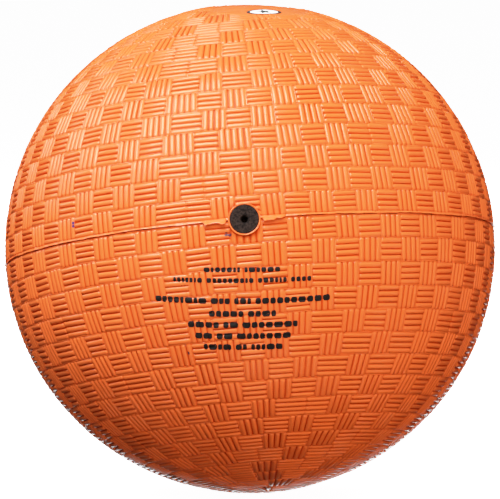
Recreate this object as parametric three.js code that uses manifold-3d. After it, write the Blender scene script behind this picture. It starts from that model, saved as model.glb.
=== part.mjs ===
// Inflatable playground ball: a moulded rubber cover over an airtight bladder with a needle valve.
// Millimetres. The origin is the centre of the ball. +Z runs through the pole of the upper mould,
// the mould's parting line lies in the XY plane, and the valve faces -Y, on that line.
import * as THREE from 'three';
import { mergeVertices } from 'three/addons/utils/BufferGeometryUtils.js';
import Module from 'manifold-3d';

const wasm = await Module();
wasm.setup();

// Ball
const ballDiameter = 152.4; // a nominal six-inch ball, over the ribs of its cover
const outerRadius = ballDiameter / 2;
const coverWall = 1.6;
const bladderWall = 0.8;
const bondGap = 0.3; // clearance that stands for each bonded face
const facetSag = 0.4; // how far the flat facets of the cover's inner face dip towards the bladder

// Parting line
const flashHeight = 0.35;
const flashFoot = 0.8; // height above the parting line at which the flash meets the cover
const flashTip = 0.2; // thickness of each half's flash at its crest

// Valve, measured across or along the valve's own axis
const plugFaceRadius = 4.4;
const plugFaceSink = 0.1; // the plug's face lies this far under the surface of the ball
const plugEdgeRound = 0.35;
const plugHeadHeight = 1.8;
const plugStemRadius = 3.0;
const plugLength = 14.6;
const plugBeadRadius = 3.7;
const plugBeadDepth = 10; // from the plug's face to the middle of the bead that locks it
const plugBeadHalf = 1.2;
const needleMouthRadius = 1.25;
const needleMouthDepth = 1.0;
const needleRadius = 0.9;
const needleDepth = 9;
const rimWidth = 1.4;
const rimHeight = flashHeight;
const sleeveRadius = 5.6;
const sleeveFloor = 2.7; // thickness of the housing's inner end, around its air hole
const airHoleRadius = 1.5;
const flangeRadius = 12;
const flangeWall = 1.0;
const patchRadius = 16;
const patchWall = 0.6;

// Smoothness
const coverTurns = 48;
const coverRings = 12;
const valveTurns = 36;
const bladderRings = 16;
const seatRings = 3;
const rootedDepth = 1; // how far a shape that is joined to the cover, or cuts it, runs past the face

// Worked out from the above
const coverInner = outerRadius - coverWall;
const bladderRadius = coverInner - facetSag - bondGap;
const holeRadius = plugFaceRadius + bondGap;
const plugFace = outerRadius - plugFaceSink;
const boreRadius = plugStemRadius + bondGap;
const collarHoleRadius = sleeveRadius + bondGap;
const seatDepth = patchWall + bondGap;
const seatRadius = patchRadius + bondGap;

const coverRubber = new THREE.MeshStandardMaterial({ color: 0xe8732f, roughness: 0.42, metalness: 0 });
const plugRubber = new THREE.MeshStandardMaterial({ color: 0x1b1a1a, roughness: 0.55, metalness: 0 });
const bladderRubber = new THREE.MeshStandardMaterial({ color: 0x2b2a2c, roughness: 0.7, metalness: 0 });
const housingRubber = new THREE.MeshStandardMaterial({ color: 0x3a3531, roughness: 0.65, metalness: 0 });
const patchRubber = new THREE.MeshStandardMaterial({ color: 0x6b4a33, roughness: 0.8, metalness: 0 });

const point = (across, along) => new THREE.Vector2(across, along);

// Points on a circle about the centre of the ball, at angles from the lathe's axis.
function arc(radius, from, to, steps) {
  return Array.from({ length: steps + 1 }, (_, i) => {
    const angle = from + ((to - from) * i) / steps;
    return point(radius * Math.sin(angle), radius * Math.cos(angle));
  });
}

// The angle from the axis at which a circle about the centre is this far across from that axis.
const angleAt = (across, radius) => Math.asin(across / radius);

// The height of that circle there.
const heightAt = (across, radius) => Math.sqrt(radius ** 2 - across ** 2);

function toSolid(geometry) {
  const plain = geometry.clone();
  plain.deleteAttribute('normal');
  plain.deleteAttribute('uv');
  const merged = mergeVertices(plain);
  const corners = Array.from(merged.index.array);
  const triVerts = [];
  for (let i = 0; i < corners.length; i += 3) {
    const [a, b, c] = corners.slice(i, i + 3);
    if (a !== b && b !== c && c !== a) triVerts.push(a, b, c);
  }
  return new wasm.Manifold(
    new wasm.Mesh({
      numProp: 3,
      vertProperties: new Float32Array(merged.attributes.position.array),
      triVerts: new Uint32Array(triVerts),
    }),
  );
}

function toGeometry(solid) {
  const mesh = solid.getMesh();
  const geometry = new THREE.BufferGeometry();
  geometry.setAttribute('position', new THREE.BufferAttribute(mesh.vertProperties, 3));
  geometry.setIndex(new THREE.BufferAttribute(mesh.triVerts, 1));
  geometry.computeVertexNormals();
  return geometry;
}

// A hemispherical shell about +Z with half of the flash on its edge.
function shellHalf() {
  const edge = bondGap / 2;
  const crest = outerRadius + flashHeight;
  const profile = [
    ...arc(coverInner, 0, Math.acos(edge / coverInner), coverRings),
    point(crest, edge),
    point(crest, edge + flashTip),
    ...arc(outerRadius, Math.acos(flashFoot / outerRadius), 0, coverRings),
  ];
  return new THREE.LatheGeometry(profile, coverTurns).rotateX(Math.PI / 2);
}

// The low lip that the cover forms around the valve, as a whole ring about -Y.
function valveRim() {
  const inside = holeRadius - rootedDepth;
  const outside = holeRadius + rimWidth;
  const root = heightAt(outside, outerRadius) - rootedDepth;
  const crest = outerRadius + rimHeight;
  const profile = [
    point(inside, root),
    point(outside, root),
    point(outside, outerRadius),
    point(outside - rimWidth / 3, crest),
    point(inside, crest),
    point(inside, root),
  ];
  return new THREE.LatheGeometry(profile, valveTurns).rotateX(Math.PI);
}

function valveHole() {
  const top = outerRadius + rimHeight + rootedDepth;
  const bottom = coverInner - rootedDepth - facetSag;
  const profile = [point(0, bottom), point(holeRadius, bottom), point(holeRadius, top), point(0, top)];
  return new THREE.LatheGeometry(profile, valveTurns).rotateX(Math.PI);
}

// Everything on the cover half's own side of the parting line.
function ownSide() {
  const size = 3 * outerRadius;
  return new THREE.BoxGeometry(size, size, size).translate(0, 0, size / 2 + bondGap / 2);
}

function coverHalf() {
  const rim = toSolid(valveRim()).intersect(toSolid(ownSide()));
  return toGeometry(toSolid(shellHalf()).add(rim).subtract(toSolid(valveHole())));
}

// The bladder, with a sunk seat for the patch and a round hole for the housing's collar.
function bladderShape() {
  const inner = bladderRadius - bladderWall;
  const seat = bladderRadius - seatDepth;
  const seatInner = inner - seatDepth;
  const stepRadius = seatRadius + bladderWall;
  const profile = [
    ...arc(bladderRadius, Math.PI, angleAt(seatRadius, bladderRadius), bladderRings),
    ...arc(seat, angleAt(seatRadius, seat), angleAt(collarHoleRadius, seat), seatRings),
    ...arc(seatInner, angleAt(collarHoleRadius, seatInner), angleAt(stepRadius, seatInner), seatRings),
    ...arc(inner, angleAt(stepRadius, inner), Math.PI, bladderRings),
  ];
  return new THREE.LatheGeometry(profile, valveTurns);
}

function patchShape() {
  const outer = bladderRadius;
  const inner = outer - patchWall;
  const profile = [
    ...arc(outer, angleAt(patchRadius, outer), angleAt(collarHoleRadius, outer), seatRings),
    ...arc(inner, angleAt(collarHoleRadius, inner), angleAt(patchRadius, inner), seatRings),
  ];
  return new THREE.LatheGeometry([...profile, profile[0]], valveTurns);
}

// A collar through the bladder, a flange under it, and a sleeve into the ball that grips the plug.
function housingShape() {
  const flangeTop = bladderRadius - seatDepth - bladderWall - bondGap;
  const flangeUnder = flangeTop - flangeWall;
  const top = plugFace - plugHeadHeight - bondGap;
  const floor = plugFace - plugLength - bondGap;
  const bead = plugFace - plugBeadDepth;
  const grooveRadius = plugBeadRadius + bondGap;
  const grooveHalf = plugBeadHalf + bondGap;
  const profile = [
    point(boreRadius, top),
    point(boreRadius, bead + grooveHalf),
    point(grooveRadius, bead + bondGap),
    point(grooveRadius, bead - bondGap),
    point(boreRadius, bead - grooveHalf),
    point(boreRadius, floor),
    point(airHoleRadius, floor),
    point(airHoleRadius, floor - sleeveFloor),
    point(sleeveRadius - 1, floor - sleeveFloor),
    point(sleeveRadius, floor - sleeveFloor + 1),
    ...arc(flangeUnder, angleAt(sleeveRadius, flangeUnder), angleAt(flangeRadius, flangeUnder), seatRings),
    ...arc(flangeTop, angleAt(flangeRadius, flangeTop), angleAt(sleeveRadius, flangeTop), seatRings),
    point(sleeveRadius, top),
    point(boreRadius, top),
  ];
  return new THREE.LatheGeometry(profile, valveTurns);
}

// A flat head, a stem with a locking bead, and a blind needle channel down the middle.
function plugShape() {
  const under = plugFace - plugHeadHeight;
  const tip = plugFace - plugLength;
  const bead = plugFace - plugBeadDepth;
  const mouthFloor = plugFace - needleMouthDepth;
  const profile = [
    point(0, tip),
    point(plugStemRadius - 1, tip),
    point(plugStemRadius, tip + 1),
    point(plugStemRadius, bead - plugBeadHalf),
    point(plugBeadRadius, bead),
    point(plugStemRadius, bead + plugBeadHalf),
    point(plugStemRadius, under),
    point(plugFaceRadius, under),
    point(plugFaceRadius, plugFace - plugEdgeRound),
    point(plugFaceRadius - plugEdgeRound, plugFace),
    point(needleMouthRadius, plugFace),
    point(needleRadius, mouthFloor),
    point(needleRadius, plugFace - needleDepth + needleRadius),
    point(0, plugFace - needleDepth),
  ];
  return new THREE.LatheGeometry(profile, valveTurns);
}

function piece(name, geometry, material) {
  const mesh = new THREE.Mesh(geometry, material);
  mesh.name = name;
  return mesh;
}

// Both cover halves are one shape: the lower one is turned over about the valve's axis.
function cover() {
  const group = new THREE.Group();
  const half = coverHalf();
  const upper = piece('cover_upper', half, coverRubber);
  const lower = piece('cover_lower', half, coverRubber);
  lower.rotation.y = Math.PI;
  group.add(upper, lower);
  return group;
}

// What is turned about the valve's axis is drawn outward along +Y, and the group turns that to -Y.
function bladderAndValve() {
  const group = new THREE.Group();
  group.rotation.x = Math.PI;
  group.add(
    piece('bladder', bladderShape(), bladderRubber),
    piece('valve_patch', patchShape(), patchRubber),
    piece('valve_housing', housingShape(), housingRubber),
    piece('valve_plug', plugShape(), plugRubber),
  );
  return group;
}

const ball = new THREE.Group();
ball.name = 'playground_ball';
ball.add(cover(), bladderAndValve());

export default ball;
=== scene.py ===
import math

import bmesh
import bpy
import numpy as np
from mathutils import Matrix, Vector
from mathutils.bvhtree import BVHTree


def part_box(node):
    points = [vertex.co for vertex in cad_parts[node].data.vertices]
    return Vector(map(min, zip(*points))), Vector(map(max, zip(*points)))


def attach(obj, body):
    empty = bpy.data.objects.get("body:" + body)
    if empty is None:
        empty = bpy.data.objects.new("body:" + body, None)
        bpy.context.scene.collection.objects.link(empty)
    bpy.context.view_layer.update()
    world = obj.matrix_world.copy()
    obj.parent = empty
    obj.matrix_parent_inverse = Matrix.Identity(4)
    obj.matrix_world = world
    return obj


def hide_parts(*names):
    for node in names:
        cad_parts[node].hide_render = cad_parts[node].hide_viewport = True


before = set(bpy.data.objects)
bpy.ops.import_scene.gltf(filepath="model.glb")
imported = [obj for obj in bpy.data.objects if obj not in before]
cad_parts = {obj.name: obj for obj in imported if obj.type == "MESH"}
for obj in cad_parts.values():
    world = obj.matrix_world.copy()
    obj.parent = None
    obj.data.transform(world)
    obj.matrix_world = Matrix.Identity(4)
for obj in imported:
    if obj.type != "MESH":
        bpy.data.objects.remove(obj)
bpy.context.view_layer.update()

# A small playground ball. Metres, in the frame's own axes: +Z through the upper pole, the mould's
# parting line in the XY plane, the needle valve facing -Y. Longitude is 0 at the valve and grows
# towards +X; latitude is 0 on the parting line. Angles are in degrees until they reach a vertex.

MM = 0.001
BALL_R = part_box("cover_upper")[1][2]
PLUG_LOW, PLUG_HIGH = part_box("valve_plug")
PLUG_R = PLUG_HIGH[0]
PLUG_FACE = -PLUG_LOW[1]
THICKNESS = 1.6 * MM  # thickness of the cover, ribs and all

# Basket-weave relief. Values that differ between the halves go by side: 1 is upper and -1 lower.
RIB_HEIGHT = 0.6 * MM
BASE_R = BALL_R - RIB_HEIGHT  # the bottom of the grooves, from which heights are measured
INNER_HEIGHT = RIB_HEIGHT - THICKNESS  # the cover's inner face
ROWS = 16  # rows of cells from the parting line to a pole's cap
CAP = 3.3  # the cap's radius in degrees
ROW_STEP = (90 - CAP) / ROWS
RIBS = 4  # in each cell
WIDE_RIBS = 5  # in a wide V
CELL_WIDTHS = {"H": 1.0, "V": 1.0, "L": 1.3, "W": 1.3}  # of each kind in the draft, in plain cells
CELL_MARGIN = 0.06 * MM  # round each cell
SEAM_MARGIN = {1: 0.70 * MM, -1: 0.42 * MM}  # between the parting line and the first row
RIB_FOOT = 0.44  # half-width of a rib at its foot, in rib pitches
ROUNDNESS = 2.2  # of a rib's section: 2 is an ellipse, and more is flatter on top
RIB_END = 0.5  # length of a rib's rounded end, in half-widths of the rib
RIB_END_MARGIN = 0.03 * MM
RIB_END_BLUNT = 0.03  # keeps the rounded end from running back to nothing at the rib's sides
GROOVE_FILL = (0.0, 0.12)  # how high the grooves inside a cell stand, in rib heights
BORDER_FILL = 0.6  # how high the cover stands between two cells, in rib heights

# How the ribs of a real moulding differ from each other
RIB_WIDTHS = (0.92, 1.06)  # shares of the plain rib's width
RIB_LIFTS = (0.86, 1.08)  # shares of its height
RIB_SHIFT = 0.035  # to either side, in rib pitches
RIB_END_SPREAD = 0.15  # how far short they may end, in millimetres
RIB_LEAN = 0.016  # how far a cell's ribs slant, in cell widths


def rib_section(place):
    """A rib's height, as a share, at this place in rib pitches from its middle."""
    return max(0.0, 1 - abs(place / RIB_FOOT) ** ROUNDNESS) ** (1 / ROUNDNESS)


SAMPLES = (-0.5, -RIB_FOOT, -0.40, -0.28, -0.12, 0.12, 0.28, 0.40, RIB_FOOT)  # over one rib pitch
ACROSS = [(place, rib_section(place)) for place in SAMPLES]
ENDS = ((1.0, 0.6), (0.6, 0.9), (-0.2, 1.0))  # a rib's end: (place in end lengths, share of its height)

# The weaving draft, row by row from the parting line: the longitudes between which the row is drafted
# and its cells there, eastwards. H has ribs along the row and V has ribs across it, L is a long H and
# W a wide V. Round the back each row goes on in plain alternation, a cell out of step with the next.
UPPER_DRAFT = (
    (-76, 82, "HVHVHVHVHVLHVHVHVHVHVHVHVHVH"),
    (-70.5, 76, "HVHVHVHVHVHHVHVHVHVHVHVHVH"),
    (-71, 71, "VHVHVHVHWLWLWHVHVHVHVHVH"),
    (-54.5, 71, "VHVHVHWHWHVHVHHWHVHV"),
    (-61, 62, "VHVHVHWLVHVHVHWHWHV"),
    (-57.5, 55, "VHVHVHWHVHVHVHVHV"),
    (-54.5, 61, "WHWHWLVLVHVHVHVHV"),
    (-45, 58.5, "VHWLLWHVHWHLW"),
    (-52, 62, "VHVHHVHVHVHVHV"),
    (-31, 41, "VHHVHVHV"),
    (-25.5, 36.5, "VHHVHV"),
    (-24.5, -0.5, "HV"),
    (-8, 21, "HV"),
    (4, 22, "H"),
    (-20, 32, "HV"),
    (10, 62, "H"),
)
LOWER_DRAFT = (
    (-76.5, 77, "HVHVHVHVHVHVHWHVHVHVHVHVHVH"),
    (-71.5, 78, "HVHVHVHVHVHVHVHVHVHVHVHVHV"),
    (-72, 72.5, "VHVHVHVHVHVHVHVHVHVHVHVHV"),
    (-64, 67, "VHLVHVHVHVHVHVHVHVHVHV"),
    (-67, 71.5, "VLVHVHVHVHVHVLVHVHVHHV"),
    (-74.5, 64.5, "VLVHVHVHVHVHVLVLVLVHV"),
    (-66.5, 75, "VHVHLVHVHVHVLVLVHVHV"),
    (-71, 68.5, "VHVHVHVHVHVHVHVHVHV"),
    (-65, 77, "VHVHVHVHVLHVHVHVHV"),
    (-72, 55, "VHHVHVHVHVHVHV"),
    (-59, 64, "VHVHVHVHWHLV"),
    (-51.5, 57, "VHVHHVHHV"),
    (-39, 52, "VHVHHV"),
    (12, 50, "HV"),
    (-25, 1, "H"),
    (5, 57, "H"),
)


def sphere_point(longitude, latitude, radius):
    """Points at these angles, in degrees, and distances from the centre."""
    lon, lat = np.radians(longitude), np.radians(latitude)
    level = radius * np.cos(lat)
    return np.stack([level * np.sin(lon), -level * np.cos(lon), radius * np.sin(lat)], -1)


def degrees_along(length):
    """The arc, in degrees, that this length covers on the ball."""
    return math.degrees(length / BALL_R)


class Net:
    """A surface built from rings and grids of (longitude, latitude, height) points."""

    def __init__(self):
        self.points = []
        self.faces = []
        self.count = 0

    def add(self, longitude, latitude, height):
        """Adds points and returns their numbers, in the same arrangement."""
        longitude, latitude, height = np.broadcast_arrays(longitude, latitude, height)
        self.points.append(np.stack([longitude, latitude, height], -1).reshape(-1, 3))
        numbers = np.arange(self.count, self.count + longitude.size).reshape(longitude.shape)
        self.count += longitude.size
        return numbers

    def grid(self, numbers):
        """Quads over an array of points whose first index runs east and second one north."""
        corners = numbers[:-1, :-1], numbers[1:, :-1], numbers[1:, 1:], numbers[:-1, 1:]
        self.faces += np.stack([c.ravel() for c in corners], -1).tolist()

    def zip(self, right, left, right_at, left_at):
        """Triangles between two chains that run the same way, the second to the first one's left."""
        i = j = 0
        while i < len(right) - 1 or j < len(left) - 1:
            take_right = j == len(left) - 1 or (
                i < len(right) - 1 and right_at[i + 1] + right_at[i] < left_at[j + 1] + left_at[j]
            )
            if take_right:
                self.faces.append([right[i], right[i + 1], left[j]])
                i += 1
            else:
                self.faces.append([right[i], left[j + 1], left[j]])
                j += 1

    def zip_rings(self, south, north):
        """Joins two closed rings, each given as (numbers, longitudes), the second to the north."""
        south_numbers, south_at = south
        north_numbers, north_at = north
        gap = (north_at - south_at[0] + 180) % 360 - 180
        start = int(np.argmin(np.abs(gap)))
        order = np.roll(np.arange(len(north_at)), -start)
        turned = north_at[order] - north_at[start] + south_at[0] + gap[start]
        turned[len(north_at) - start:] += 360
        self.zip(
            closed(south_numbers),
            closed(north_numbers[order]),
            np.append(south_at, south_at[0] + 360),
            np.append(turned, turned[0] + 360),
        )


def closed(numbers):
    """A ring's numbers, with the first one again at the end."""
    return np.append(numbers, numbers[0]).tolist()


def rib_lines(ribs, rng):
    """Samples across a cell: places from 0 to 1, how far the ribs' ends reach there, and heights."""
    places, swell, heights = [], [], []
    fill = rng.uniform(*GROOVE_FILL)
    for rib in range(ribs):
        width = rng.uniform(*RIB_WIDTHS)
        lift = rng.uniform(*RIB_LIFTS)
        shift = rng.uniform(-RIB_SHIFT, RIB_SHIFT)
        for offset, height in ACROSS:
            moved = rib + 0.5 + offset * width + shift
            places.append((moved if abs(offset) < 0.5 else rib + 0.5 + offset) / ribs)
            swell.append(math.sqrt(max(RIB_END_BLUNT, 1 - (offset / RIB_FOOT) ** 2)))
            edge = (rib == 0 and offset < 0) or (rib == ribs - 1 and offset > 0)
            beside = BORDER_FILL if edge else fill
            heights.append(height * lift if height else beside)
    places.append(1.0)
    swell.append(swell[0])
    heights.append(BORDER_FILL)
    return np.array(places), np.array(swell), np.array(heights)


def cell(net, kind, west, east, south, north, rng):
    """Adds one cell and returns its grid of point numbers, first index east and second north."""
    middle = math.cos(math.radians((south + north) / 2))
    upright = kind in "VW"
    size = np.radians([(east - west) * middle, north - south]) * BALL_R
    along_size, across_size = (size[1], size[0]) if upright else (size[0], size[1])
    ribs = WIDE_RIBS if kind == "W" else RIBS
    places, swell, heights = rib_lines(ribs, rng)
    radius = RIB_END * RIB_FOOT * across_size / ribs
    back = rng.uniform(0, RIB_END_SPREAD, len(places)) * MM
    end = 1 - 2 * (RIB_END_MARGIN + radius + back) / along_size
    reach = 2 * radius * swell / along_size
    # Along the ribs, from -1 to 1: the cell's edge, the ribs' rounded ends, and the same mirrored.
    far = np.stack([end + reach * where for where, _ in ENDS])
    along = np.concatenate([-np.ones((1, len(places))), -far, far[::-1], np.ones((1, len(places)))])
    share = [BORDER_FILL, *(s for _, s in ENDS), *(s for _, s in reversed(ENDS)), BORDER_FILL]
    height = np.array(share)[:, None] * heights[None, :] * RIB_HEIGHT
    lean = rng.uniform(-RIB_LEAN, RIB_LEAN)
    across = places[None, :] + lean * along
    along = (along + 1) / 2
    if upright:
        x, y, height = across.T, along.T, height.T
    else:
        x, y = along, across
    numbers = net.add(west + (east - west) * x, south + (north - south) * y, height)
    net.grid(numbers)
    return numbers


def alternation(span, plain, before, after):
    """The kinds and widths of the plain cells that fill a span between two cells of these kinds."""
    odd = (before in "VW") == (after in "VW")
    count = 2 * max(round((span / plain - odd) / 2), 0 if odd else 1) + odd
    pair = "HV" if before in "VW" else "VH"
    return (pair * count)[:count], [span / count] * count


def row_plan(row, draft, side):
    """The kinds and west edges of the cells round one row, and where the last one ends."""
    west, east, kinds = draft
    unit = (east - west) / sum(CELL_WIDTHS[kind] for kind in kinds)
    sizes = [unit * CELL_WIDTHS[kind] for kind in kinds]
    plain = ROW_STEP / math.cos(math.radians((row + 0.5) * ROW_STEP))
    middle = "HV"[(row + (side < 0)) % 2]
    east_kinds, east_sizes = alternation(180 - plain / 2 - east, plain, kinds[-1], middle)
    west_kinds, west_sizes = alternation(180 - plain / 2 + west, plain, middle, kinds[0])
    sizes += east_sizes + [plain] + west_sizes
    return kinds + east_kinds + middle + west_kinds, west + np.concatenate([[0], np.cumsum(sizes)])


def weave_row(net, row, draft, side, rng):
    """Adds one row of cells. Returns its south and north rings."""
    kinds, edges = row_plan(row, draft, side)
    south = row * ROW_STEP + degrees_along(CELL_MARGIN if row else SEAM_MARGIN[side])
    north = (row + 1) * ROW_STEP - degrees_along(CELL_MARGIN)
    inset = degrees_along(CELL_MARGIN) / math.cos(math.radians((row + 0.5) * ROW_STEP))
    cells = []
    for kind, west, east in zip(kinds, edges[:-1], edges[1:]):
        cells.append(cell(net, kind, west + inset, east - inset, south, north, rng))
    points = np.concatenate(net.points)
    for west_cell, east_cell in zip(cells, cells[1:] + cells[:1]):
        right, left = east_cell[0], west_cell[-1]
        net.zip(right.tolist(), left.tolist(), points[right, 1], points[left, 1])
    rings = []
    for edge in (0, -1):
        numbers = np.concatenate([c[:, edge] for c in cells])
        rings.append((numbers, points[numbers, 0]))
    return rings


# Parting line
LINE_BLOCKS = 48  # stretches round the ball, each with its own small offset
LINE_OFFSET = 0.12  # the most that a stretch lies off the equator, in millimetres
LINE_SWAY = 0.04 * MM
FLASH_POINTS = 1440  # round the ball
FLASH_HEIGHT = {1: 0.72 * MM, -1: 0.22 * MM}  # the upper half's flash stands over the lower one's
FLASH_LEAST = 0.06 * MM  # the least height of its crest
# The flash's section: (place off the parting line in flash widths, share of its height). The first
# point, below 0, is on the cover's inner face, and the last is the foot, where the weave begins.
FLASH_PROFILE = ((0.03, -1.0), (0.03, 0.35), (0.03, 0.85), (0.05, 1.0), (0.13, 0.92), (0.26, 0.45))
FLASH_WIDTH = {1: 2.5, -1: 1.5}  # in millimetres
FLASH_FOOT = FLASH_PROFILE[-1][0]
TAB_FROM, TAB_TO = 5.6 * MM, 12.4 * MM  # the thick torn flash on either side of the valve
TAB_HEIGHT = 1.15 * MM
TAB_REACH = 0.7 * MM  # how far it hangs over the lower half
TAB_SHARE = {1: 1, -1: -0.35}  # it grows from the upper half and presses the lower one's flash down

# Inner face and poles
INNER_POINTS = 96
INNER_RINGS = 20
CAP_POINTS = 30
# The cap's section: (degrees off the pole, height in rib heights), and then its height at the pole
CAP_PROFILE = ((3.0, 0.0), (2.8, 0.75), (2.5, 1.0), (1.4, 1.0), (1.1, 0.55))
CAP_CENTRE = 0.45


def waves(points, wavelength, seed, count=7):
    """Smooth noise, mostly from -1 to 1, at points in the ball's frame."""
    gain = 1.6  # the waves seldom peak together
    rng = np.random.default_rng(seed)
    total = np.zeros(len(points))
    for _ in range(count):
        direction = rng.normal(size=3)
        direction *= 2 * math.pi / wavelength / np.linalg.norm(direction)
        total += np.cos(points @ direction + rng.uniform(0, 2 * math.pi))
    return total / count * gain


def smooth_step(value, low, high):
    """0 up to low and 1 from high on, with an eased rise between them."""
    t = np.clip((value - low) / (high - low), 0, 1)
    return t * t * (3 - 2 * t)


def seam_noise(longitude, wavelength, seed):
    """Smooth noise along the parting line that joins up round the ball."""
    return waves(sphere_point(longitude, 0 * longitude, BALL_R), wavelength, seed)


def parting_line(longitude):
    """How far north of the equator the mould's halves meet, in metres."""
    rng = np.random.default_rng(11)
    blocks = rng.uniform(-LINE_OFFSET, LINE_OFFSET, LINE_BLOCKS) * MM
    place = longitude / 360 * len(blocks)
    block = np.floor(place).astype(int)
    blend = smooth_step(place - block, 0.88, 1.0)
    step = blocks[block % len(blocks)] * (1 - blend) + blocks[(block + 1) % len(blocks)] * blend
    return step + LINE_SWAY * seam_noise(longitude, 4 * MM, 12)


def tab(longitude):
    """1 on the torn flash beside the valve and 0 elsewhere."""
    away = np.abs(np.radians((longitude + 180) % 360 - 180)) * BALL_R
    begun = smooth_step(away, TAB_FROM - 0.3 * MM, TAB_FROM)
    ended = smooth_step(away, TAB_TO - 0.8 * MM, TAB_TO)
    return begun * (1 - ended)


def flash_rings(net, side):
    """One half's parting face and flash. Returns its inner edge and the foot of the flash."""
    longitude = np.arange(FLASH_POINTS) * 360 / FLASH_POINTS
    line = side * parting_line(longitude)
    coarse = seam_noise(longitude, 2.5 * MM, 13 + side)
    fine = seam_noise(longitude, 0.9 * MM, 17 + side)
    ragged = 1 + 0.3 * coarse + 0.15 * fine
    torn = tab(longitude) * TAB_SHARE[side]
    crest = np.maximum(FLASH_HEIGHT[side] * ragged + TAB_HEIGHT * torn * ragged, FLASH_LEAST)
    rings = []
    for out, up in FLASH_PROFILE:
        over = TAB_REACH * np.maximum(torn, 0) * ragged ** 2 * (up > 0.5)
        place = out * FLASH_WIDTH[side] * MM - over
        latitude = np.degrees((place + line * (out < FLASH_FOOT)) / BALL_R)
        height = crest * up if up >= 0 else INNER_HEIGHT
        rings.append(net.add(longitude, latitude, height))
    numbers = np.stack(rings, 1)
    net.grid(np.vstack([numbers, numbers[:1]]))
    return (rings[0], longitude), (rings[-1], longitude)


def inner_face(net, edge):
    """The cover's smooth inner face, from its pole down to the parting face's inner edge."""
    longitude = np.arange(INNER_POINTS) * 360 / INNER_POINTS
    latitudes = np.linspace(90, 0, INNER_RINGS + 2)[1:-1]
    rings = [(net.add(longitude, latitude, INNER_HEIGHT), longitude) for latitude in latitudes]
    pole = net.add(0.0, 90.0, INNER_HEIGHT)
    first = closed(rings[0][0])
    net.faces += [[int(pole), b, a] for a, b in zip(first, first[1:])]
    for upper, lower in zip(rings, rings[1:] + [edge]):
        net.zip_rings(upper, lower)


def pole_cap(net, ring):
    """The small round cap at the pole: a low raised ring with a shallow dish in it."""
    longitude = np.arange(CAP_POINTS) * 360 / CAP_POINTS
    for away, share in CAP_PROFILE:
        following = (net.add(longitude, 90.0 - away, share * RIB_HEIGHT), longitude)
        net.zip_rings(ring, following)
        ring = following
    pole = net.add(0.0, 90.0, CAP_CENTRE * RIB_HEIGHT)
    last = closed(ring[0])
    net.faces += [[a, b, int(pole)] for a, b in zip(last, last[1:])]


# The smooth panel that the mould leaves for an emblem beside the upper pole, in degrees
PANEL_LONGITUDE, PANEL_LATITUDE = 24.0, 74.5
PANEL_RADIUS = 13.0
PANEL_EDGE = 1.2

# The unevenness of a real moulding
SWAY = 0.07 * MM  # of the weave's lines
SWAY_LENGTH = 6 * MM
SWAY_TO = 84  # the latitude where it ends
SWELLS = ((0.10 * MM, 55 * MM, 23), (0.035 * MM, 11 * MM, 24))  # heights, wavelengths and seeds


def beside_panel(points):
    """0 on the smooth panel, 1 off it."""
    centre = sphere_point(PANEL_LONGITUDE, PANEL_LATITUDE, 1.0)
    unit = points / np.linalg.norm(points, axis=1)[:, None]
    away = np.degrees(np.arccos(np.clip(unit @ centre, -1, 1)))
    return smooth_step(away, PANEL_RADIUS - PANEL_EDGE, PANEL_RADIUS)


def placed(net, side):
    """The net's points in the frame, made uneven and flat on the panel, and the relief at each."""
    longitude, latitude, height = np.concatenate(net.points).T
    flat = sphere_point(longitude, side * latitude, BALL_R)
    outer = height > INNER_HEIGHT + 0.1 * MM
    beside = beside_panel(flat)
    height = np.where(outer, height * beside, height)
    level = np.cos(np.radians(np.minimum(latitude, SWAY_TO)))
    sway = degrees_along(SWAY) * outer * (latitude < SWAY_TO)
    longitude = longitude + sway * waves(flat, SWAY_LENGTH, 21) / level
    latitude = latitude + sway * waves(flat, SWAY_LENGTH, 22)
    uneven = sum(high * waves(flat, length, seed) for high, length, seed in SWELLS)
    points = sphere_point(longitude, side * latitude, BASE_R + height + uneven)
    return points, height / RIB_HEIGHT + 1 - beside


def set_relief(mesh, relief):
    """Records each vertex's relief, 0 in a groove and 1 on a crown; the cover's colour uses it for
    painted groove shade.
    """
    attribute = mesh.attributes.new("relief", "FLOAT", "POINT")
    attribute.data.foreach_set("value", relief.astype(np.float32))


def cover_half(name, side, draft):
    """One half of the cover, as a closed shell with its ribs, flash and inner face."""
    net = Net()
    rng = np.random.default_rng(5 + side)
    inner_edge, foot = flash_rings(net, side)
    inner_face(net, inner_edge)
    ring = foot
    for row, stretch in enumerate(draft):
        south, north = weave_row(net, row, stretch, side, rng)
        net.zip_rings(ring, south)
        ring = north
    pole_cap(net, ring)
    points, relief = placed(net, side)
    faces = net.faces if side > 0 else [face[::-1] for face in net.faces]
    mesh = bpy.data.meshes.new(name)
    mesh.from_pydata(points.tolist(), [], faces)
    set_relief(mesh, relief)
    mesh.validate()
    return link(name, mesh)


def link(name, data):
    """A new object in the scene."""
    piece = bpy.data.objects.new(name, data)
    bpy.context.scene.collection.objects.link(piece)
    return piece


def lathe(name, outline, turns, close=False):
    """Turns (across, along) points about the valve's axis, along running outwards.

    With close, the outline's last point is joined to its first.
    """
    angles = np.arange(turns) * 2 * math.pi / turns
    across = np.array([p[0] for p in outline])
    along = np.array([p[1] for p in outline])
    points = np.stack(
        [
            np.outer(np.cos(angles), across),
            np.outer(-np.ones(turns), along),
            np.outer(np.sin(angles), across),
        ],
        -1,
    )
    count = len(outline)
    number = np.arange(turns * count).reshape(turns, count)
    faces = []
    for a, b in zip(number, np.roll(number, -1, 0)):
        last = count if close else count - 1
        for i in range(last):
            j = (i + 1) % count
            faces.append([int(a[i]), int(a[j]), int(b[j]), int(b[i])])
    mesh = bpy.data.meshes.new(name)
    mesh.from_pydata(points.reshape(-1, 3).tolist(), [], faces)
    return link(name, mesh)


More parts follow.
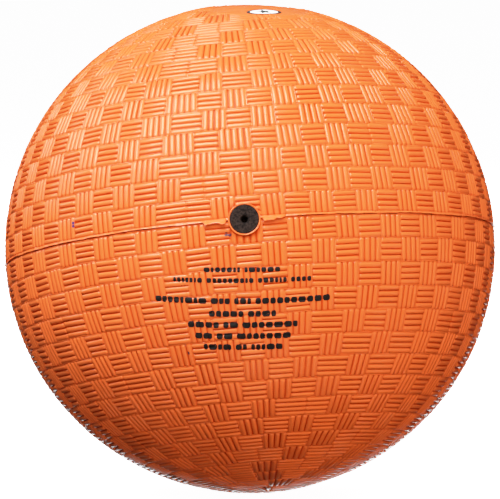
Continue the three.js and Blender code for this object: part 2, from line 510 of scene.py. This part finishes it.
# Valve
VALVE_TURNS = 128  # points round the valve's axis
HOLE_R = PLUG_R + 0.42 * MM  # the hole in the cover, which the rim lines
RIM_INNER_R = PLUG_R + 0.03 * MM
RIM_ROOT = BALL_R - 2.2 * MM
RIM_LOW_CREST = 0.02 * MM  # above the ball's radius, on the valve's upper side
RIM_HIGH_CREST = 0.52 * MM  # and on its lower side
HEAD_THICKNESS = 1.8 * MM
HEAD_EDGE = 0.4 * MM  # radius of the head's worn edge
STEM_R = 3 * MM
BEAD_RISE = 0.7 * MM  # how far the locking bead stands out from the stem
BEAD_DEPTH = 10 * MM  # from the plug's face to the middle of the bead
MOUTH_R, THROAT_R = 1.5 * MM, 1.02 * MM  # of the needle hole, at the face and under its rounded mouth


def cut_valve_hole(half):
    """Cuts the round hole for the valve through one half of the cover."""
    inside, outside = BALL_R - 5 * MM, BALL_R + 4 * MM
    outline = ((0, inside), (HOLE_R, inside), (HOLE_R, outside), (0, outside))
    cutter = lathe("hole_cutter", outline, VALVE_TURNS)
    weld_axis(cutter)
    modifier = half.modifiers.new("valve_hole", "BOOLEAN")
    modifier.operation = "DIFFERENCE"
    modifier.solver = "MANIFOLD"
    modifier.object = cutter
    graph = bpy.context.evaluated_depsgraph_get()
    cut = bpy.data.meshes.new_from_object(half.evaluated_get(graph), depsgraph=graph)
    half.modifiers.clear()
    half.data = cut
    bpy.data.objects.remove(cutter)


def weld_axis(piece):
    """Joins the points that a lathe leaves together on its axis."""
    net = bmesh.new()
    net.from_mesh(piece.data)
    bmesh.ops.remove_doubles(net, verts=net.verts, dist=0.002 * MM)
    bmesh.ops.dissolve_degenerate(net, edges=net.edges, dist=0.001 * MM)
    bmesh.ops.recalc_face_normals(net, faces=net.faces)
    net.to_mesh(piece.data)
    net.free()


def smooth(piece, sharp_over):
    """Smooth shading, broken at edges that turn by more than this many degrees."""
    piece.data.shade_smooth()
    piece.data.set_sharp_from_angle(angle=math.radians(sharp_over))


def valve_rim():
    """The thin lip of cover rubber round the plug, standing higher on its lower side."""
    outline = (
        (RIM_INNER_R, RIM_ROOT),
        (HOLE_R, RIM_ROOT),
        (HOLE_R, BALL_R - 0.6 * MM),
        (HOLE_R + 0.04 * MM, BALL_R - 0.24 * MM),
        (HOLE_R + 0.02 * MM, BALL_R - 0.07 * MM),
        (HOLE_R - 0.08 * MM, BALL_R),
        (HOLE_R - 0.2 * MM, BALL_R - 0.01 * MM),
        (RIM_INNER_R + 0.02 * MM, BALL_R - 0.18 * MM),
        (RIM_INNER_R - 0.06 * MM, BALL_R - 0.32 * MM),
    )
    rim = lathe("valve_rim", outline, VALVE_TURNS, close=True)
    for vertex in rim.data.vertices:
        x, y, z = vertex.co
        low = 0.5 - 0.5 * z / math.hypot(x, z)
        raised = smooth_step(-y, BALL_R - 0.7 * MM, BALL_R - 0.3 * MM)
        angle = math.atan2(z, x)
        torn = 0.03 * MM * math.sin(5 * angle + 1) + 0.02 * MM * math.sin(13 * angle)
        vertex.co.y = y - raised * (RIM_LOW_CREST + (RIM_HIGH_CREST - RIM_LOW_CREST) * low + torn)
    weld_axis(rim)
    set_relief(rim.data, np.ones(len(rim.data.vertices)))
    smooth(rim, 50)
    return rim


def quarter_turn(steps):
    """Angles from 0 to a quarter turn, in radians."""
    return [math.radians(90 * step / steps) for step in range(steps + 1)]


def plug_stem():
    """The plug's outline from the tip of its stem, over the locking bead, to the head."""
    tip = -PLUG_HIGH[1]
    head = PLUG_FACE - HEAD_THICKNESS
    bead = PLUG_FACE - BEAD_DEPTH
    outline = [(0, tip), (2.2 * MM, tip), (2.8 * MM, tip + 0.2 * MM), (STEM_R, tip + 0.9 * MM)]
    for step in range(-4, 5):
        swell = 0.5 + 0.5 * math.cos(math.pi * step / 4)
        outline.append((STEM_R + BEAD_RISE * swell, bead + step * 0.3 * MM))
    return outline + [(STEM_R, head - 0.1 * MM), (3.1 * MM, head)]


def plug_head():
    """The plug's outline from under its head, over the worn edge, to the slightly dished face."""
    head = PLUG_FACE - HEAD_THICKNESS
    outline = [(PLUG_R - 0.1 * MM, head), (PLUG_R, head + 0.1 * MM)]
    for turn in quarter_turn(5):
        across = PLUG_R - HEAD_EDGE + HEAD_EDGE * math.cos(turn)
        outline.append((across, PLUG_FACE - HEAD_EDGE + HEAD_EDGE * math.sin(turn)))
    return outline + [(3.1 * MM, PLUG_FACE - 0.02 * MM), (1.9 * MM, PLUG_FACE - 0.06 * MM)]


def needle_hole():
    """The plug's outline from the rounded mouth of the needle hole to the hole's blind end."""
    outline = []
    for turn in quarter_turn(5):
        drop = 0.07 * MM + (MOUTH_R - THROAT_R) * (1 - math.cos(turn))
        outline.append((MOUTH_R - (MOUTH_R - THROAT_R) * math.sin(turn), PLUG_FACE - drop))
    bottom = (0.9 * MM, PLUG_FACE - 2.5 * MM), (0.8 * MM, PLUG_FACE - 8.5 * MM), (0, PLUG_FACE - 9 * MM)
    return outline + list(bottom)


def valve_plug():
    """The black plug: a flat head with a worn edge, a stem with its locking bead, a needle hole."""
    plug = lathe("valve_plug_moulded", plug_stem() + plug_head() + needle_hole(), VALVE_TURNS)
    weld_axis(plug)
    points = np.array([v.co for v in plug.data.vertices])
    rough = waves(points, 1.6 * MM, 41) * 0.02 * MM
    for vertex, bump in zip(plug.data.vertices, rough):
        vertex.co.y -= bump * smooth_step(-vertex.co.y, PLUG_FACE - 0.5 * MM, PLUG_FACE - 0.1 * MM)
    smooth(plug, 45)
    return plug


# Prints
INK = 0.03 * MM  # how far the ink stands off the rubber
INK_THICKNESS = 0.09 * MM
INK_REACH = 0.12 * MM  # the ink bridges dips narrower than twice this
INK_STEP = 0.24 * MM  # between the points of a stroke
PRINT_CENTRE = (-2.25, -20.45)  # longitude and latitude of the middle of the block
PRINT_TURN = -4.6  # the block was stamped this many degrees off the parting line
# Where each line of print would be: its height above the middle of the block, its length and the
# thickness of its strokes, in millimetres, and how many strokes stand for each word.
PRINT_LINES = (
    (12.3, 22.9, 1.5, (7, 6)),
    (9.1, 41.6, 1.5, (7, 9, 6, 4)),
    (2.9, 53.0, 1.85, (8, 3, 3, 10)),
    (-1.0, 20.0, 1.85, (5, 4)),
    (-4.5, 32.9, 1.85, (4, 2, 7)),
    (-8.0, 28.7, 1.85, (2, 2, 7)),
    (-11.5, 23.6, 1.85, (4, 2, 5)),
)
STROKE_GAP = 0.34
WORD_GAP = 1.3
STROKE_LENGTHS = (0.6, 1.4)  # the strokes vary in length between these shares
STROKE_CORNER = 0.3  # radius of a stroke's corners, as a share of its shorter side


class Stamp:
    """Places flat artwork on the ball about a point, with x along its lines, in metres."""

    def __init__(self, longitude, latitude, turn):
        self.out = sphere_point(longitude, latitude, 1.0)
        east = np.array([math.cos(math.radians(longitude)), math.sin(math.radians(longitude)), 0.0])
        north = np.cross(self.out, east)
        angle = math.radians(turn)
        self.right = east * math.cos(angle) + north * math.sin(angle)
        self.up = north * math.cos(angle) - east * math.sin(angle)

    def direction(self, x, y):
        """The direction from the ball's centre of a point on the artwork."""
        away = math.hypot(x, y)
        if away == 0:
            return self.out
        turn = away / BALL_R
        across = (self.right * x + self.up * y) / away
        return self.out * math.cos(turn) + across * math.sin(turn)


def rounded_bar(x0, x1, y0, y1):
    """A grid over a bar with rounded corners, as rows of (x, y), in metres."""
    radius = STROKE_CORNER * min(x1 - x0, y1 - y0)
    columns = max(4, round((x1 - x0) / INK_STEP))
    rows = max(4, round((y1 - y0) / INK_STEP))
    middle = (y0 + y1) / 2
    grid = []
    for i in range(columns + 1):
        x = x0 + (x1 - x0) * i / columns
        end = min(1.0, max(0.0, 1 - min(x - x0, x1 - x) / radius))
        half = (y1 - y0) / 2 - radius * (1 - math.sqrt(1 - end * end))
        grid.append([(x, middle + half * (2 * j / rows - 1)) for j in range(rows + 1)])
    return grid


def circle(radius, count):
    """A closed outline: points round a circle, from its top."""
    angles = np.radians(90.0 + np.arange(count) * 360 / count)
    return np.stack([np.cos(angles), np.sin(angles)], -1) * radius


def star(tip, notch, points, steps):
    """A closed outline: a star with straight edges, with steps on each edge."""
    corners = circle(tip, 2 * points)
    corners[1::2] *= notch / tip
    following = np.roll(corners, -1, 0)
    part = (np.arange(steps) / steps)[None, :, None]
    return (corners[:, None] * (1 - part) + following[:, None] * part).reshape(-1, 2)


def between(inner, outer):
    """A grid from one closed outline to another with as many points."""
    steps = max(3, round(float(np.abs(outer - inner).max()) / INK_STEP / 2))
    grid = [[tuple(a + (b - a) * j / steps) for j in range(steps + 1)] for a, b in zip(inner, outer)]
    return grid + grid[:1]


def ink(name, stamp, grids, surface, lift=INK):
    """A thin layer of ink that follows the relief under each grid."""
    offsets = ((0, 0), (INK_REACH, 0), (-INK_REACH, 0), (0, INK_REACH), (0, -INK_REACH))
    points, faces = [], []
    for grid in grids:
        first = len(points)
        for row in grid:
            for x, y in row:
                around = [stamp.direction(x + dx, y + dy) for dx, dy in offsets]
                height = max(surface_height(surface, direction) for direction in around)
                points.append(stamp.direction(x, y) * (height + lift))
        width = len(grid[0])
        for i in range(len(grid) - 1):
            for j in range(width - 1):
                corner = first + i * width + j
                faces.append((corner, corner + width, corner + width + 1, corner + 1))
    mesh = bpy.data.meshes.new(name)
    mesh.from_pydata(points, [], faces)
    piece = link(name, mesh)
    weld_axis(piece)
    face_outwards(piece.data)
    piece.data.shade_smooth()
    layer = piece.modifiers.new("layer", "SOLIDIFY")
    layer.thickness = INK_THICKNESS
    layer.offset = -1
    return piece


def face_outwards(mesh):
    """Turns every face of an open layer away from the ball's centre."""
    for face in mesh.polygons:
        if face.normal.dot(face.center) < 0:
            face.flip()
    mesh.update()


def surface_height(surface, direction):
    """How far the cover's surface is from the centre in this direction."""
    start = Vector(direction * (BALL_R + 3 * MM))
    hit, _, _, _ = surface.ray_cast(start, Vector(-direction), 8 * MM)
    return hit.length if hit else BASE_R


def print_block(surface):
    """The seven stamped lines under the valve, as plain strokes."""
    strokes = []
    rng = np.random.default_rng(31)
    for level, line, thickness, words in PRINT_LINES:
        spaces = (len(words) - 1) * (WORD_GAP - STROKE_GAP)
        lengths = rng.uniform(*STROKE_LENGTHS, sum(words))
        lengths *= (line - spaces - (sum(words) - 1) * STROKE_GAP) / sum(lengths)
        x = -line / 2
        low, high = level - thickness / 2, level + thickness / 2
        word_ends = np.cumsum(words) - 1
        for i, length in enumerate(lengths):
            strokes.append(rounded_bar(x * MM, (x + length) * MM, low * MM, high * MM))
            x += length + (WORD_GAP if i in word_ends else STROKE_GAP)
    return ink("print_strokes", Stamp(*PRINT_CENTRE, PRINT_TURN), strokes, surface)


# Emblem
EMBLEM_CENTRE = (20.0, 66.2)  # longitude and latitude
EMBLEM_SIZE = np.array([5.3, 3.1]) * MM  # half its width and half its height
EMBLEM_POINTS = 120
EMBLEM_EDGE = (0.86, 1.06)  # the black edge runs between these shares of the oval's size
STAR_TIP, STAR_NOTCH = 0.78, 0.34  # the star's radii, as shares of half the emblem's height
STAR_POINTS = 5
STAR_STEPS = 8  # on each of its edges


def emblem(surface):
    """A plain white oval with a black edge and a black star."""
    stamp = Stamp(*EMBLEM_CENTRE, 0.0)
    oval = circle(1.0, EMBLEM_POINTS) * EMBLEM_SIZE
    field = ink("emblem_field", stamp, [between(oval * 0.0, oval)], surface)
    edge = between(*(oval * share for share in EMBLEM_EDGE))
    half = EMBLEM_SIZE[1]
    shape = star(half * STAR_TIP, half * STAR_NOTCH, STAR_POINTS, STAR_STEPS)
    figure = between(shape * 0.0, shape)
    marks = ink("emblem_marks", stamp, [edge, figure], surface, 2 * INK)
    return field, marks


# Materials. Noise scales are per metre.


def material(name):
    """A new material and what builds it: its shader node, a maker of nodes and a maker of links."""
    made = bpy.data.materials.new(name)
    made.use_nodes = True
    tree = made.node_tree
    shader = tree.nodes["Principled BSDF"]

    def node(kind, inputs=None, **settings):
        new = tree.nodes.new(kind)
        for key, value in settings.items():
            setattr(new, key, value)
        for key, value in (inputs or {}).items():
            if isinstance(value, bpy.types.NodeSocket):
                tree.links.new(value, new.inputs[key])
            else:
                new.inputs[key].default_value = value
        return new

    return made, shader, node, tree.links.new


def noise(node, scale, detail=3.0):
    """Noise over the object's own coordinates, as a value socket."""
    place = node("ShaderNodeTexCoord").outputs["Object"]
    return node(
        "ShaderNodeTexNoise",
        {"Vector": place, "Scale": scale, "Detail": detail, "Roughness": 0.55},
    ).outputs["Fac"]


def ranged(node, value, low, high, to_low, to_high):
    """A value carried from one range to another, held at its ends."""
    return node(
        "ShaderNodeMapRange",
        {"Value": value, "From Min": low, "From Max": high, "To Min": to_low, "To Max": to_high},
    ).outputs["Result"]


def mixed(node, share, first, second):
    """A colour mixed from two others. Inputs 6 and 7 and output 2 are the node's colours."""
    return node("ShaderNodeMix", {0: share, 6: first, 7: second}, data_type="RGBA").outputs[2]


def bumped(node, height, distance, normal=None):
    """A normal that follows a height, on top of another normal if there is one."""
    inputs = {"Height": height, "Distance": distance, "Strength": 1.0}
    if normal is not None:
        inputs["Normal"] = normal
    return node("ShaderNodeBump", inputs).outputs["Normal"]


# Painted shade: the grooves' colour is darkened to stand for the shadow that falls in them.
PAINTED_GROOVE_SHADE = (0.46, 0.030, 0.0, 1)
CROWN = (0.87, 0.146, 0.033, 1)
FADED = (0.88, 0.152, 0.040, 1)
GRIME = (0.78, 0.112, 0.018, 1)
SPECK = (0.06, 0.02, 0.01, 1)
SPECK_CELLS = 105.0  # per metre: each cell has room for one speck, and about one in five has it
PURPLE, GREY = (0.02, 0.01, 0.09, 1), (0.05, 0.03, 0.05, 1)
STAINS = (  # small marks on the cover: longitude, latitude, radius and colour
    (-42.8, 4.1, 0.55 * MM, PURPLE),
    (-42.8, 3.4, 0.55 * MM, PURPLE),
    (-4.3, -3.0, 0.75 * MM, GREY),
    (-3.5, -3.2, 0.70 * MM, GREY),
    (-17.6, -29.2, 0.65 * MM, GREY),
)


def with_specks(node, place, colour):
    """The colour with a few dark specks, each about half a millimetre across."""
    cells = node("ShaderNodeTexVoronoi", {"Vector": place, "Scale": SPECK_CELLS})
    near = ranged(node, cells.outputs["Distance"], 0.018, 0.03, 1.0, 0.0)
    chance = node("ShaderNodeSeparateColor", {"Color": cells.outputs["Color"]}).outputs[0]
    chosen = ranged(node, chance, 0.78, 0.79, 0.0, 1.0)
    speck = node("ShaderNodeMath", {0: near, 1: chosen}, operation="MULTIPLY").outputs[0]
    return mixed(node, speck, colour, SPECK)


def with_stains(node, place, colour):
    """The colour with the few round stains that are in STAINS."""
    for longitude, latitude, radius, stain in STAINS:
        spot = Vector(sphere_point(longitude, latitude, BALL_R))
        away = node("ShaderNodeVectorMath", {0: place, 1: spot}, operation="DISTANCE")
        cover = ranged(node, away.outputs["Value"], 0.75 * radius, radius, 0.95, 0.0)
        colour = mixed(node, cover, colour, stain)
    return colour


def cover_rubber():
    """Orange rubber, a little soiled, with painted shade: darker and less specular in the grooves."""
    made, shader, node, join = material("cover_rubber")
    relief = node("ShaderNodeAttribute", attribute_name="relief").outputs["Fac"]
    # Painted shade: the colour darkens from the crowns down into the grooves.
    crown = ranged(node, relief, 0.05, 0.6, 0.0, 1.0)
    colour = mixed(node, crown, PAINTED_GROOVE_SHADE, CROWN)
    faded = ranged(node, noise(node, 38), 0.35, 0.7, 0.0, 0.45)
    colour = mixed(node, faded, colour, FADED)
    grime = ranged(node, noise(node, 160, 5.0), 0.52, 0.8, 0.0, 0.35)
    colour = mixed(node, grime, colour, GRIME)
    place = node("ShaderNodeTexCoord").outputs["Object"]
    colour = with_stains(node, place, with_specks(node, place, colour))
    join(colour, shader.inputs["Base Color"])
    join(ranged(node, noise(node, 55, 4.0), 0.3, 0.7, 0.17, 0.27), shader.inputs["Roughness"])
    fine = bumped(node, noise(node, 2600, 2.0), 0.012 * MM)
    join(bumped(node, noise(node, 420), 0.05 * MM, fine), shader.inputs["Normal"])
    join(ranged(node, crown, 0.0, 1.0, 0.1, 0.55), shader.inputs["Specular IOR Level"])
    return made


def dull_rubber(name, dark, light, roughness, grain=900, specular=0.5):
    """Plain moulded rubber in one hue, with cloudy colour and a fine grain."""
    made, shader, node, join = material(name)
    cloud = ranged(node, noise(node, grain, 4.0), 0.35, 0.68, 0.0, 1.0)
    join(mixed(node, cloud, dark, light), shader.inputs["Base Color"])
    join(ranged(node, noise(node, grain * 0.6), 0.3, 0.7, *roughness), shader.inputs["Roughness"])
    join(bumped(node, noise(node, grain * 2.5), 0.03 * MM), shader.inputs["Normal"])
    shader.inputs["Specular IOR Level"].default_value = specular
    return made


def plug_rubber():
    dark, light = (0.006, 0.005, 0.005, 1), (0.036, 0.024, 0.020, 1)
    return dull_rubber("plug_rubber", dark, light, (0.7, 0.9), grain=1600, specular=0.08)


def bladder_rubber():
    dark, light = (0.012, 0.012, 0.013, 1), (0.05, 0.05, 0.05, 1)
    return dull_rubber("bladder_rubber", dark, light, (0.5, 0.75), grain=300)


def patch_rubber():
    dark, light = (0.10, 0.055, 0.03, 1), (0.20, 0.12, 0.07, 1)
    return dull_rubber("patch_rubber", dark, light, (0.65, 0.85))


def housing_rubber():
    dark, light = (0.03, 0.027, 0.024, 1), (0.07, 0.06, 0.055, 1)
    return dull_rubber("housing_rubber", dark, light, (0.5, 0.7))


def printing_ink(name, thick, thin):
    """Stamped ink: dense, with thin places where the colour beneath shows through."""
    made, shader, node, join = material(name)
    worn = ranged(node, noise(node, 1500), 0.55, 0.75, 0.0, 0.5)
    join(mixed(node, worn, thick, thin), shader.inputs["Base Color"])
    join(ranged(node, noise(node, 700, 2.0), 0.3, 0.7, 0.6, 0.8), shader.inputs["Roughness"])
    shader.inputs["Specular IOR Level"].default_value = 0.3
    join(bumped(node, noise(node, 2200, 2.0), 0.01 * MM), shader.inputs["Normal"])
    return made


def dress(piece, made):
    """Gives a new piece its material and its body."""
    piece.data.materials.clear()
    piece.data.materials.append(made)
    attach(piece, "root")


def repaint(node_name, made):
    """Gives a CAD node that stays in the model its material."""
    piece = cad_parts[node_name]
    for place in piece.material_slots:
        place.link = "OBJECT"
        place.material = made


# Camera, floor and light
CAMERA_DISTANCE = 20 * BALL_R
CAMERA_AZIMUTH = 0.75  # in degrees, towards +X from -Y
CAMERA_ELEVATION = -6.5
CAMERA_ROLL = 4.55
SILHOUETTE = 0.981  # the ball's width in the picture, as a share of the frame's
AIM_LOW = 0.006  # the picture's centre lies this far below the ball's, in ball radii
SENSOR = 36.0


def camera_axes():
    """The camera's right, up and back directions in the frame."""
    azimuth, elevation = math.radians(CAMERA_AZIMUTH), math.radians(CAMERA_ELEVATION)
    level = math.cos(elevation)
    back = Vector((math.sin(azimuth) * level, -math.cos(azimuth) * level, math.sin(elevation)))
    right = Vector((math.cos(azimuth), math.sin(azimuth), 0.0))
    up = back.cross(right)
    roll = math.radians(CAMERA_ROLL)
    rolled_right = right * math.cos(roll) - up * math.sin(roll)
    rolled_up = up * math.cos(roll) + right * math.sin(roll)
    return rolled_right, rolled_up, back


def place_camera():
    """The scene's camera, on the valve's side and a little below it, rolled against the ball's axis."""
    right, up, back = camera_axes()
    spread = math.sqrt((CAMERA_DISTANCE / BALL_R) ** 2 - 1)
    data = bpy.data.cameras.new("camera")
    data.sensor_width = SENSOR
    data.lens = SENSOR * SILHOUETTE / 2 * spread
    camera = link("camera", data)
    aim = -up * AIM_LOW * BALL_R
    turn = Matrix((right, up, back)).transposed().to_4x4()
    camera.matrix_world = Matrix.Translation(aim + back * CAMERA_DISTANCE) @ turn
    bpy.context.scene.camera = camera


def toward(across, height):
    """A direction from the ball: degrees to the camera's right, then degrees above its level."""
    right, up, back = camera_axes()
    a, h = math.radians(across), math.radians(height)
    return (right * math.sin(a) + back * math.cos(a)) * math.cos(h) + up * math.sin(h)


def soft_box(name, across, height, distance, width, tall, strength, shine=True, colour=(1, 1, 1)):
    """A rectangular light that faces the ball and gives white paper there this brightness.

    It lies across degrees to the camera's right and height degrees above its level.
    """
    data = bpy.data.lights.new(name, "AREA")
    data.shape = "RECTANGLE"
    data.size = width
    data.size_y = tall
    data.energy = strength * (math.pi * distance) ** 2
    data.color = colour
    box = link(name, data)
    away = toward(across, height)
    box.location = away * distance
    box.rotation_euler = away.to_track_quat("Z", "Y").to_euler()
    box.visible_glossy = shine


FLOOR_TILT = 5.0  # how far above the floor the camera looks from, in degrees
FLOOR_SIZE = 8.0
FLOOR_GLOW = 2.0  # the paper shows white in any light


def floor():
    """A pale floor under the ball, square to the picture's own upright."""
    down = -toward(0.0, 90.0 - FLOOR_TILT)
    mesh = bpy.data.meshes.new("floor")
    half = FLOOR_SIZE / 2
    corners = [(-half, -half, 0), (half, -half, 0), (half, half, 0), (-half, half, 0)]
    mesh.from_pydata(corners, [], [(0, 1, 2, 3)])
    plane = link("floor", mesh)
    plane.location = down * (BALL_R + 0.1 * MM)
    plane.rotation_euler = (-down).to_track_quat("Z", "Y").to_euler()
    made, shader, node, join = material("floor_paper")
    tone = ranged(node, noise(node, 3.0), 0.3, 0.7, 0.86, 0.9)
    grey = node("ShaderNodeCombineColor", {0: tone, 1: tone, 2: tone}).outputs[0]
    join(grey, shader.inputs["Base Color"])
    shader.inputs["Roughness"].default_value = 0.9
    shader.inputs["Emission Color"].default_value = (1, 1, 1, 1)
    shader.inputs["Emission Strength"].default_value = FLOOR_GLOW
    plane.data.materials.append(made)
    plane.visible_diffuse = False
    plane.visible_glossy = False


WHITE = 2.3  # the brightness that shows as pure white
SHOULDER = ((0.24, 0.55), (0.42, 0.825), (0.66, 0.93))  # the tone curve between black and white


def soften_highlights():
    """The photographic shoulder: bright orange keeps its shading instead of clipping."""
    settings = bpy.context.scene.view_settings
    settings.view_transform = "Standard"
    settings.use_curve_mapping = True
    mapping = settings.curve_mapping
    mapping.white_level = (WHITE, WHITE, WHITE)
    for x, y in SHOULDER:
        mapping.curves[3].points.new(x, y)
    mapping.update()


WARM = (1.0, 0.74, 0.5)  # the light that the ball and its surroundings throw back
WALL_DROP = math.radians(5)  # how far below the ball's level the white wall's middle lies
WALL_EDGES = (0.97, 0.995)  # cosines of the angles from its middle where it ends and where it is full
WALL_BRIGHTNESS = 1.6 * WHITE
ROOM = 0.015  # the brightness of the rest of the room


def surroundings():
    """A dark room with a small white wall behind the ball. The camera itself sees white all round."""
    world = bpy.data.worlds.new("studio")
    world.use_nodes = True
    tree = world.node_tree
    background = tree.nodes["Background"]
    place = tree.nodes.new("ShaderNodeTexCoord")
    facing = tree.nodes.new("ShaderNodeVectorMath")
    facing.operation = "DOT_PRODUCT"
    facing.inputs[1].default_value = (0.0, math.cos(WALL_DROP), -math.sin(WALL_DROP))
    wall = tree.nodes.new("ShaderNodeMapRange")
    wall.interpolation_type = "SMOOTHSTEP"
    span = (*WALL_EDGES, ROOM, WALL_BRIGHTNESS)
    for socket, value in zip(("From Min", "From Max", "To Min", "To Max"), span):
        wall.inputs[socket].default_value = value
    path = tree.nodes.new("ShaderNodeLightPath")
    seen = tree.nodes.new("ShaderNodeMapRange")
    seen.inputs["To Max"].default_value = WHITE
    tree.links.new(place.outputs["Generated"], facing.inputs[0])
    tree.links.new(facing.outputs["Value"], wall.inputs["Value"])
    tree.links.new(path.outputs["Is Camera Ray"], seen.inputs["Value"])
    tree.links.new(wall.outputs[0], seen.inputs["To Min"])
    tree.links.new(seen.outputs[0], background.inputs["Strength"])
    background.inputs["Color"].default_value = (1, 1, 1, 1)
    bpy.context.scene.world = world


def lights():
    """A high key light on the left, softer lights round the ball, and warm light from low down."""
    soft_box("key", -38, 58, 1.2, 0.9, 0.9, 1.55)
    soft_box("overhead", 5, 34, 1.2, 0.6, 0.6, 0.95, shine=False)
    soft_box("window", -48, 30, 1.2, 0.8, 0.6, 0.27)
    soft_box("left", -105, 30, 1.2, 0.3, 0.8, 0.2)
    soft_box("right", 75, -15, 1.2, 0.5, 1.0, 0.6, shine=False, colour=WARM)
    soft_box("front", 5, 0, 1.9, 0.5, 0.3, 0.37, shine=False, colour=WARM)
    soft_box("low", 5, -52, 1.2, 0.5, 0.5, 0.38, shine=False, colour=WARM)
    soft_box("under", 180, -40, 1.2, 0.6, 0.6, 0.6, shine=False, colour=WARM)
    soft_box("back", 180, 35, 1.2, 0.8, 0.8, 1.8, shine=False)


place_camera()
floor()
surroundings()
lights()
soften_highlights()

upper = cover_half("cover_upper_moulded", 1, UPPER_DRAFT)
lower = cover_half("cover_lower_moulded", -1, LOWER_DRAFT)
for half in (upper, lower):
    cut_valve_hole(half)
    smooth(half, 54)
rim = valve_rim()
plug = valve_plug()

graph = bpy.context.evaluated_depsgraph_get()
bars = print_block(BVHTree.FromObject(lower, graph))
field, marks = emblem(BVHTree.FromObject(upper, graph))

orange = cover_rubber()
black_ink = printing_ink("black_ink", (0.010, 0.009, 0.009, 1), (0.045, 0.025, 0.018, 1))
white_ink = printing_ink("white_ink", (0.88, 0.87, 0.84, 1), (0.90, 0.66, 0.46, 1))
for piece in (upper, lower, rim):
    dress(piece, orange)
dress(plug, plug_rubber())
dress(bars, black_ink)
dress(marks, black_ink)
dress(field, white_ink)
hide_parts("cover_upper")
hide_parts("cover_lower")
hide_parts("valve_plug")
repaint("bladder", bladder_rubber())
repaint("valve_patch", patch_rubber())
repaint("valve_housing", housing_rubber())
